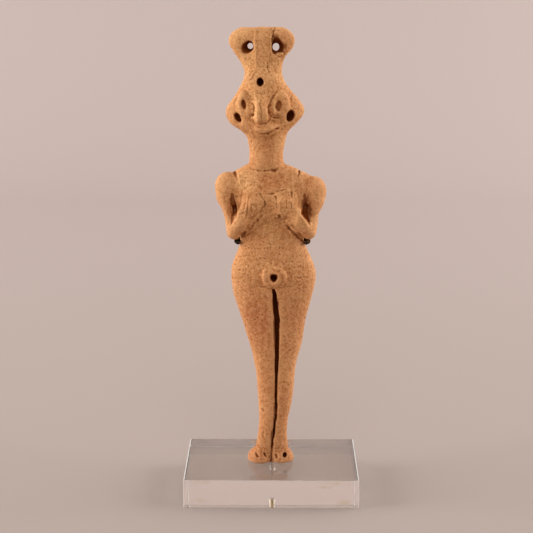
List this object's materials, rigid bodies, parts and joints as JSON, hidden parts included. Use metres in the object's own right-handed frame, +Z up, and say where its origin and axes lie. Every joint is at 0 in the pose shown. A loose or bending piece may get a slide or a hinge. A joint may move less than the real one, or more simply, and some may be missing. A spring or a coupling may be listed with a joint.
{
  "type": "mother goddess figurine",
  "caption": "Hand-modelled terracotta figurine of a standing goddess holding her breasts, on a clear acrylic block with a brass support.",
  "frame": {"origin": "centre of the acrylic block's underside", "axes": "+Z up along the figurine, the figurine looks along -Y, +X to the right of someone who looks at its face"},
  "size_m": [0.06, 0.04, 0.1616],
  "materials": {
    "terracotta": "matt unglazed fired clay, orange buff with darker mottling, pits and earth in the creases",
    "patinated_brass": "dark brown patina, satin",
    "clear_acrylic": "clear cast acrylic, polished faces and edges"
  },
  "bodies": {
    "root": {"figurine": "terracotta", "mount_rod": "patinated_brass", "acrylic_base": "clear_acrylic"}
  },
  "joints": []
}
